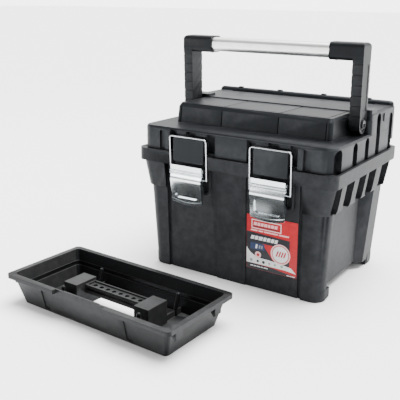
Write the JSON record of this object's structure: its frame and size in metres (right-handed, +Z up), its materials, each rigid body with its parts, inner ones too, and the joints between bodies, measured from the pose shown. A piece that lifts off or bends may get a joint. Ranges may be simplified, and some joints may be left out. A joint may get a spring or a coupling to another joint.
{
  "type": "carpenter toolbox",
  "caption": "Deep moulded carpenter's toolbox with a hinged lid, front draw latches, a fold-down handle with a metal grip tube and a lift-out tray.",
  "frame": {"origin": "on the floor under the centre of the tub's rim", "axes": "+X to the right seen from the latch side, +Y to the lid's hinge, +Z up"},
  "size_m": [0.5263, 0.677, 0.4913],
  "materials": {
    "tub_plastic": "textured satin",
    "lid_plastic": "textured satin",
    "handle_plastic": "satin",
    "tray_plastic": "satin",
    "steel": "zinc plated",
    "bracket_steel": "black coated",
    "chrome": "bright plated",
    "wire": "bright drawn wire",
    "aluminium": "satin anodised",
    "label": "printed film"
  },
  "bodies": {
    "tub": {"tub_shell": "tub_plastic", "hinge_pin_left": "steel", "hinge_pin_right": "steel", "latch_base_left": "bracket_steel", "latch_base_right": "bracket_steel", "latch_rivets": "steel", "lever_pin_left": "steel", "lever_pin_right": "steel", "label_sticker": "label"},
    "lid": {"lid_shell": "lid_plastic", "handle_pivot_left": "handle_plastic", "handle_pivot_right": "handle_plastic"},
    "lever_left": {"latch_lever_left": "chrome"},
    "lever_right": {"latch_lever_right": "chrome"},
    "bail_left": {"bail_left": "wire"},
    "bail_right": {"bail_right": "wire"},
    "handle": {"handle_arm_left": "handle_plastic", "handle_arm_right": "handle_plastic", "grip_tube": "aluminium", "grip_screws": "steel"},
    "tray": {"tray_shell": "tray_plastic"}
  },
  "joints": [
    {"name": "lid_hinge", "type": "hinge", "parent": "tub", "child": "lid", "pos_m": [0, 0.172, 0.274], "axis": [-1, 0, 0], "range_deg": [0, 100]},
    {"name": "lever_left_swing", "type": "hinge", "parent": "tub", "child": "lever_left", "pos_m": [-0.0935, -0.1765, 0.234], "axis": [-1, 0, 0], "range_deg": [0, 120]},
    {"name": "bail_left_swing", "type": "hinge", "parent": "lever_left", "child": "bail_left", "pos_m": [-0.0935, -0.173, 0.2145], "axis": [1, 0, 0], "range_deg": [0, 120]},
    {"name": "lever_right_swing", "type": "hinge", "parent": "tub", "child": "lever_right", "pos_m": [0.0935, -0.1765, 0.234], "axis": [-1, 0, 0], "range_deg": [0, 120]},
    {"name": "bail_right_swing", "type": "hinge", "parent": "lever_right", "child": "bail_right", "pos_m": [0.0935, -0.173, 0.2145], "axis": [1, 0, 0], "range_deg": [0, 120]},
    {"name": "handle_fold", "type": "hinge", "parent": "lid", "child": "handle", "pos_m": [0, -0.005, 0.334], "axis": [1, 0, 0], "range_deg": [0, 85]},
    {"name": "tray_lift", "type": "slide", "parent": "tub", "child": "tray", "axis": [0, 0, 1], "range_m": [0, 0.25]}
  ],
  "couplings": [
    {"joint": "bail_left_swing", "follows": "lever_left_swing", "ratio": 1},
    {"joint": "bail_right_swing", "follows": "lever_right_swing", "ratio": 1}
  ]
}
